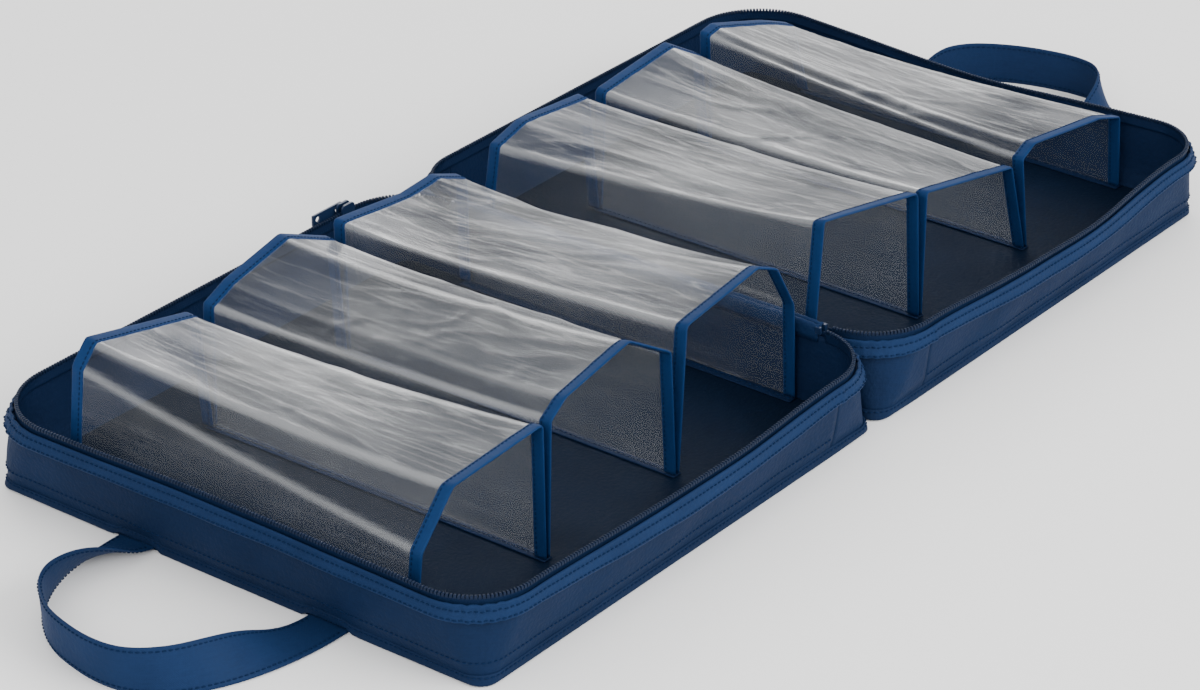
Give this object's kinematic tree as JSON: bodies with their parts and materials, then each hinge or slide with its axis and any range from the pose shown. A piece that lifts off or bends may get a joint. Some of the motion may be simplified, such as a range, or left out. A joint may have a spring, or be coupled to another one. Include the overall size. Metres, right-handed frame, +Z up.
{
  "type": "shoe bag",
  "caption": "Zip-round shoe bag lying open: two shallow fabric trays joined by a fabric spine, clear film tunnels for shoes in each, a strap handle at each outer end.",
  "frame": {"origin": "on the surface the open bag lies on, midway along the fold line under the spine", "axes": "+X along the open bag towards the right tray's handle, +Y from the near side to the far side, +Z up"},
  "size_m": [0.9356, 0.3626, 0.1077],
  "materials": {
    "navy_fabric": "matt",
    "edge_binding": "matt",
    "handle_strap": "matt",
    "zip_tape": "matt",
    "zip_teeth": "satin",
    "clear_film": "clear gloss",
    "board": "matt",
    "slider_metal": "satin enamel"
  },
  "bodies": {
    "left_tray": {"left_base_binding": "edge_binding", "left_base_board": "board", "left_base_panel": "navy_fabric", "left_floor_lining": "navy_fabric", "left_foot_tapes": "edge_binding", "left_handle_tabs": "handle_strap", "left_side_strip": "navy_fabric", "left_spine_wall": "navy_fabric", "left_tunnel_1_far_edge": "edge_binding", "left_tunnel_1_film": "clear_film", "left_tunnel_1_near_edge": "edge_binding", "left_tunnel_2_far_edge": "edge_binding", "left_tunnel_2_film": "clear_film", "left_tunnel_2_near_edge": "edge_binding", "left_tunnel_3_far_edge": "edge_binding", "left_tunnel_3_film": "clear_film", "left_tunnel_3_near_edge": "edge_binding", "left_zip_band": "navy_fabric", "left_zip_stops": "slider_metal", "left_zip_tape": "zip_tape", "left_zip_teeth": "zip_teeth", "spine_strip": "navy_fabric"},
    "right_tray": {"right_base_binding": "edge_binding", "right_base_board": "board", "right_base_panel": "navy_fabric", "right_floor_lining": "navy_fabric", "right_foot_tapes": "edge_binding", "right_handle_tabs": "handle_strap", "right_side_strip": "navy_fabric", "right_spine_wall": "navy_fabric", "right_tunnel_1_far_edge": "edge_binding", "right_tunnel_1_film": "clear_film", "right_tunnel_1_near_edge": "edge_binding", "right_tunnel_2_far_edge": "edge_binding", "right_tunnel_2_film": "clear_film", "right_tunnel_2_near_edge": "edge_binding", "right_tunnel_3_far_edge": "edge_binding", "right_tunnel_3_film": "clear_film", "right_tunnel_3_near_edge": "edge_binding", "right_zip_band": "navy_fabric", "right_zip_stops": "slider_metal", "right_zip_tape": "zip_tape", "right_zip_teeth": "zip_teeth"},
    "left_handle": {"left_handle": "handle_strap"},
    "right_handle": {"right_handle": "handle_strap"},
    "slider": {"zip_slider": "slider_metal"},
    "pull": {"slider_pull": "slider_metal"}
  },
  "joints": [
    {"name": "fold", "type": "hinge", "parent": "left_tray", "child": "right_tray", "pos_m": [0, 0, 0.0526], "axis": [0, -1, 0], "range_deg": [0, 180], "deforming": ["left_tunnel_1_far_edge", "left_tunnel_1_film", "left_tunnel_1_near_edge", "left_tunnel_2_far_edge", "left_tunnel_2_film", "left_tunnel_2_near_edge", "left_tunnel_3_far_edge", "left_tunnel_3_film", "left_tunnel_3_near_edge", "right_tunnel_1_far_edge", "right_tunnel_1_film", "right_tunnel_1_near_edge", "right_tunnel_2_far_edge", "right_tunnel_2_film", "right_tunnel_2_near_edge", "right_tunnel_3_far_edge", "right_tunnel_3_film", "right_tunnel_3_near_edge"]},
    {"name": "left_handle_swing", "type": "hinge", "parent": "left_tray", "child": "left_handle", "pos_m": [-0.353, 0, 0.0012], "axis": [0, -1, 0], "range_deg": [-60, 0]},
    {"name": "right_handle_swing", "type": "hinge", "parent": "right_tray", "child": "right_handle", "pos_m": [0.353, 0, 0.0012], "axis": [0, 1, 0], "range_deg": [-60, 0]},
    {"name": "zip_run", "type": "slide", "parent": "left_tray", "child": "slider", "axis": [-1, 0, 0], "range_m": [0, 0.22]},
    {"name": "pull_swing", "type": "hinge", "parent": "slider", "child": "pull", "pos_m": [-0.051, 0.1812, 0.0526], "axis": [0, 0, 1], "range_deg": [-170, 0]}
  ]
}
